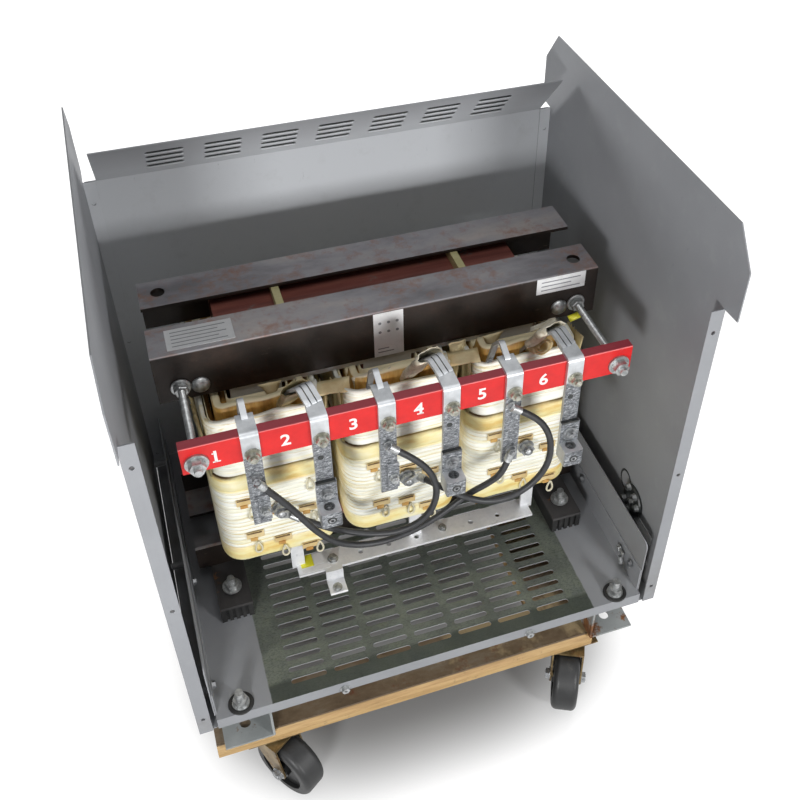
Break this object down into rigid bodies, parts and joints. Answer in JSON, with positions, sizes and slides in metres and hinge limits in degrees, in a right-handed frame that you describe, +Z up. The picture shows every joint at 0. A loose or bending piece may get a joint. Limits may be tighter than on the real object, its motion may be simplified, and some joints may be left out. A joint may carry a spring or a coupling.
{
  "type": "dry-type power transformer on a wheeled dolly",
  "caption": "Dry-type power transformer, core and coils with red terminal bar in an opened grey sheet-metal enclosure, standing on channel feet on a wooden caster dolly",
  "frame": {"origin": "on the ground under the middle of the object", "axes": "+X to the right seen from the open front, +Y to the back panel, +Z up"},
  "size_m": [0.813, 0.716, 1.059],
  "materials": {
    "enclosure_grey": "semi-gloss grey powder coat",
    "channel_grey": "thin grey paint with rust",
    "core_varnish": "red-brown varnished laminations",
    "clamp_steel": "dark mill scale with rust",
    "packing": "cream pressboard",
    "coil_paper": "varnished cream insulating paper",
    "pad_rubber": "black ribbed rubber",
    "terminal_red": "red glass-polyester board",
    "zinc": "dull zinc plate",
    "bar_aluminium": "scuffed mill finish",
    "cable_black": "black cable jacket",
    "dolly_wood": "worn soft wood",
    "wheel_black": "black hard rubber",
    "caster_zinc": "dirty yellow zinc"
  },
  "bodies": {
    "transformer": {"back_panel": "enclosure_grey", "base_pan": "enclosure_grey", "box_lug_2": "bar_aluminium", "box_lug_4": "bar_aluminium", "box_lug_6": "bar_aluminium", "bus_bar_1": "bar_aluminium", "bus_bar_2": "bar_aluminium", "bus_bar_3": "bar_aluminium", "bus_bar_4": "bar_aluminium", "bus_bar_5": "bar_aluminium", "bus_bar_6": "bar_aluminium", "caster_plate_front_left": "caster_zinc", "caster_plate_front_right": "caster_zinc", "caster_plate_rear_left": "caster_zinc", "caster_plate_rear_right": "caster_zinc", "centre_coil": "coil_paper", "core": "core_varnish", "dolly_front_rail": "dolly_wood", "dolly_left_rail": "dolly_wood", "dolly_rear_rail": "dolly_wood", "dolly_right_rail": "dolly_wood", "front_foot_plates": "clamp_steel", "front_pads": "pad_rubber", "jumper_cable_a": "cable_black", "jumper_cable_b": "cable_black", "jumper_cable_c": "cable_black", "jumper_lugs": "zinc", "left_coil": "coil_paper", "left_foot_channel": "channel_grey", "left_side_panel": "enclosure_grey", "left_sill": "enclosure_grey", "lower_front_clamp": "clamp_steel", "lower_packing": "packing", "lower_rear_clamp": "clamp_steel", "neutral_bar": "bar_aluminium", "rear_foot_plates": "clamp_steel", "rear_pads": "pad_rubber", "right_coil": "coil_paper", "right_foot_channel": "channel_grey", "right_side_panel": "enclosure_grey", "right_sill": "enclosure_grey", "stand_off_rods": "zinc", "tap_studs": "zinc", "terminal_bar": "terminal_red", "upper_front_clamp": "clamp_steel", "upper_rear_clamp": "clamp_steel", "yoke_packing": "packing"},
    "fork_front_left": {"caster_fork_front_left": "caster_zinc"},
    "wheel_front_left": {"caster_wheel_front_left": "wheel_black"},
    "fork_front_right": {"caster_fork_front_right": "caster_zinc"},
    "wheel_front_right": {"caster_wheel_front_right": "wheel_black"},
    "fork_rear_left": {"caster_fork_rear_left": "caster_zinc"},
    "wheel_rear_left": {"caster_wheel_rear_left": "wheel_black"},
    "fork_rear_right": {"caster_fork_rear_right": "caster_zinc"},
    "wheel_rear_right": {"caster_wheel_rear_right": "wheel_black"}
  },
  "joints": [
    {"name": "swivel_front_left", "type": "hinge", "parent": "transformer", "child": "fork_front_left", "pos_m": [-0.2955, -0.2615, 0.13], "axis": [0, 0, 1], "continuous": true},
    {"name": "roll_front_left", "type": "hinge", "parent": "fork_front_left", "child": "wheel_front_left", "pos_m": [-0.2737, -0.29263, 0.062], "axis": [0.8192, 0.5736, 0], "continuous": true},
    {"name": "swivel_front_right", "type": "hinge", "parent": "transformer", "child": "fork_front_right", "pos_m": [0.269, -0.2615, 0.13], "axis": [0, 0, 1], "continuous": true},
    {"name": "roll_front_right", "type": "hinge", "parent": "fork_front_right", "child": "wheel_front_right", "pos_m": [0.25222, -0.2956, 0.062], "axis": [0.8973, -0.4415, 0], "continuous": true},
    {"name": "swivel_rear_left", "type": "hinge", "parent": "transformer", "child": "fork_rear_left", "pos_m": [-0.2955, 0.2615, 0.13], "axis": [0, 0, 1], "continuous": true},
    {"name": "roll_rear_left", "type": "hinge", "parent": "fork_rear_left", "child": "wheel_rear_left", "pos_m": [-0.33073, 0.27574, 0.062], "axis": [-0.3746, -0.9272, 0], "continuous": true},
    {"name": "swivel_rear_right", "type": "hinge", "parent": "transformer", "child": "fork_rear_right", "pos_m": [0.269, 0.2615, 0.13], "axis": [0, 0, 1], "continuous": true},
    {"name": "roll_rear_right", "type": "hinge", "parent": "fork_rear_right", "child": "wheel_rear_right", "pos_m": [0.25222, 0.2956, 0.062], "axis": [-0.8973, -0.4415, 0], "continuous": true}
  ]
}
